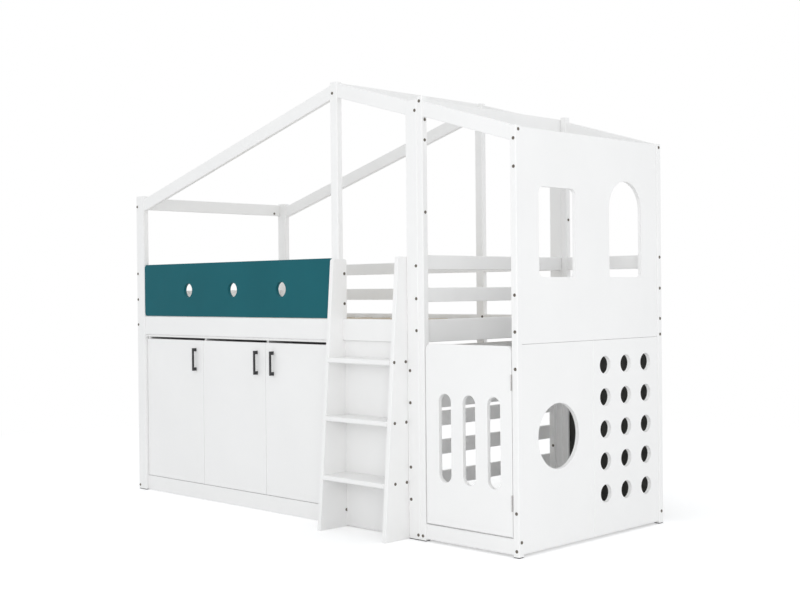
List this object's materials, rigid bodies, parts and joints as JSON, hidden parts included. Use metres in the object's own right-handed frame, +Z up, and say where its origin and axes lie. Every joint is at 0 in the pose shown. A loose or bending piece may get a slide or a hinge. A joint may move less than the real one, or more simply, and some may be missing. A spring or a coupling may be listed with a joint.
{
  "type": "house loft bed",
  "caption": "Low loft bed with a house-shaped post and rafter roof, ladder, guard panel, doored cabinet below and a playhouse annex with hinged door and windowed end wall.",
  "frame": {"origin": "on the floor under the middle of the whole bed's box", "axes": "+X along the bed towards the playhouse annex, +Y from the ladder side to the back, +Z up"},
  "size_m": [2.751, 1.21, 2.076],
  "materials": {
    "white_paint": "white satin lacquer on timber and board",
    "teal_paint": "dark teal satin lacquer on board",
    "bare_slat_wood": "bare sanded softwood",
    "black_board": "matt black writing board",
    "black_metal": "satin black powder coat",
    "bronze_steel": "dark bronze plated steel",
    "hinge_steel": "nickel plated steel",
    "black_rubber": "matt"
  },
  "bodies": {
    "frame": {"annex_back_boards": "white_paint", "annex_corner_post_back": "white_paint", "annex_corner_post_front": "white_paint", "annex_inner_post_back": "white_paint", "annex_inner_post_front": "white_paint", "annex_threshold": "white_paint", "back_guard_boards": "white_paint", "blackboard": "black_board", "butt_hinge_post_leaves": "hinge_steel", "cabinet_back_panel": "white_paint", "cabinet_floor": "white_paint", "cabinet_kick_board": "white_paint", "cabinet_partitions": "white_paint", "cabinet_shelves": "white_paint", "cabinet_sides": "white_paint", "cabinet_top": "white_paint", "crossbeams": "white_paint", "deck_slats": "bare_slat_wood", "end_bolt_heads": "bronze_steel", "end_floor_rails": "white_paint", "end_guard_boards": "white_paint", "end_rails": "white_paint", "end_wall_back": "white_paint", "end_wall_front": "white_paint", "end_wall_upper": "white_paint", "face_bolt_heads": "bronze_steel", "fixed_front_panel": "white_paint", "foot_pads": "black_rubber", "guard_panel": "teal_paint", "hinge_arms": "hinge_steel", "ladder_stile_left": "white_paint", "ladder_stile_right": "white_paint", "ladder_treads": "white_paint", "left_post_back": "white_paint", "left_post_front": "white_paint", "partition_cleats": "white_paint", "partition_slats": "white_paint", "rafters_annex": "white_paint", "rafters_left": "white_paint", "rafters_middle": "white_paint", "ridge_beam": "white_paint", "ridge_post_back": "white_paint", "ridge_post_front": "white_paint", "right_post_back": "white_paint", "right_post_front": "white_paint", "side_rails_back": "white_paint", "side_rails_front": "white_paint", "slat_ledgers": "bare_slat_wood"},
    "cabinet_door_1": {"cabinet_door_1": "white_paint", "door_pull_1": "black_metal", "hinge_cups_1": "hinge_steel"},
    "cabinet_door_2": {"cabinet_door_2": "white_paint", "door_pull_2": "black_metal", "hinge_cups_2": "hinge_steel"},
    "cabinet_door_3": {"cabinet_door_3": "white_paint", "door_pull_3": "black_metal", "hinge_cups_3": "hinge_steel"},
    "playhouse_door": {"playhouse_door": "white_paint", "butt_hinge_door_leaves": "hinge_steel"}
  },
  "joints": [
    {"name": "cabinet_door_1_hinge", "type": "hinge", "parent": "frame", "child": "cabinet_door_1", "pos_m": [-1.3015, -0.44, 0.463], "axis": [0, 0, -1], "range_deg": [0, 90]},
    {"name": "cabinet_door_2_hinge", "type": "hinge", "parent": "frame", "child": "cabinet_door_2", "pos_m": [-0.7835, -0.44, 0.463], "axis": [0, 0, -1], "range_deg": [0, 105]},
    {"name": "cabinet_door_3_hinge", "type": "hinge", "parent": "frame", "child": "cabinet_door_3", "pos_m": [0.2505, -0.44, 0.463], "axis": [0, 0, 1], "range_deg": [0, 90]},
    {"name": "playhouse_door_hinge", "type": "hinge", "parent": "frame", "child": "playhouse_door", "pos_m": [1.34025, -0.46, 0.4695], "axis": [0, 0, 1], "range_deg": [0, 110]}
  ]
}
